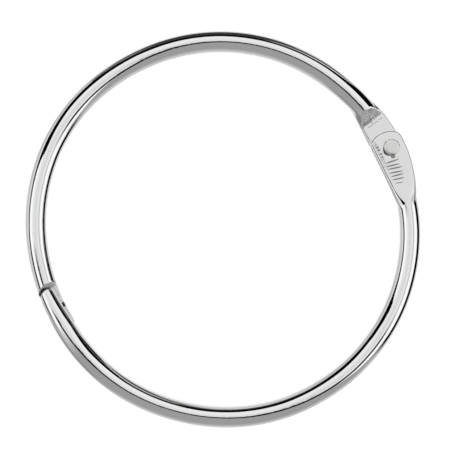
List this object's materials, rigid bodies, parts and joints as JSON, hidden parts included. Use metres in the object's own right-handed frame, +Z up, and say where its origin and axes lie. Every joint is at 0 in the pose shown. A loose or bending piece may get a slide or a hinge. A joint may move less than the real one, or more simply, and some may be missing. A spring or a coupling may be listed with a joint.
{
  "type": "hinged binder ring",
  "caption": "Round-wire loose-leaf binder ring that opens on a flat riveted hinge and closes with a half-lap snap.",
  "frame": {"origin": "middle of the closed ring's footprint, on the surface it lies on", "axes": "+Z up along the ring's axis and the hinge rivet, +X towards the hinge, so that the snap is at -X; the upper half is on the +Y side and the half that swings is on the -Y side"},
  "size_m": [0.0566, 0.0568, 0.003],
  "materials": {
    "plated_wire": "bright nickel plating over steel wire, smooth, with faint draw lines and die marks on the pressed leaves",
    "plated_rivet": "nickel plating over steel, slightly duller where the head is upset"
  },
  "bodies": {
    "fixed_half": {"upper_half": "plated_wire", "hinge_rivet": "plated_rivet"},
    "swinging_half": {"lower_half": "plated_wire"}
  },
  "joints": [
    {"name": "ring_hinge", "type": "hinge", "parent": "fixed_half", "child": "swinging_half", "pos_m": [0.02627, 0, 0.0015], "axis": [0, 0, 1], "range_deg": [0, 157]}
  ]
}
